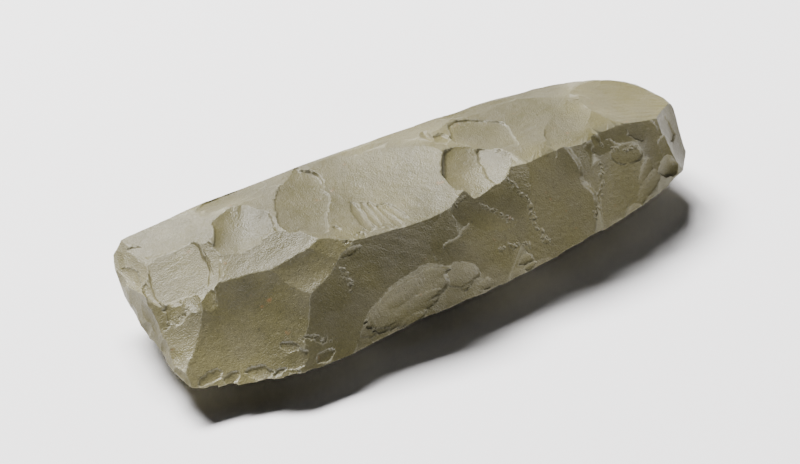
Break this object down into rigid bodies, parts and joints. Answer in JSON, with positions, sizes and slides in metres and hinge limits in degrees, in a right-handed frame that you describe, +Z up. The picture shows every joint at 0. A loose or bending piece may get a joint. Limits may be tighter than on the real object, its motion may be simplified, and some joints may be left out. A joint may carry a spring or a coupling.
{
  "type": "stone axe head",
  "caption": "Flaked stone axe head with a broad cutting edge, a rounded butt and one steep flank, lying on its lower face.",
  "frame": {"origin": "middle of the bounding box's base, on the ground under the axe head", "axes": "+X from the cutting edge to the butt, -Y to the side of the steep flank, +Z up from the resting face"},
  "size_m": [0.1498, 0.058, 0.0257],
  "materials": {
    "stone": "waxy, slightly glossy, greenish grey"
  },
  "bodies": {
    "root": {"axe_head": "stone"}
  },
  "joints": []
}
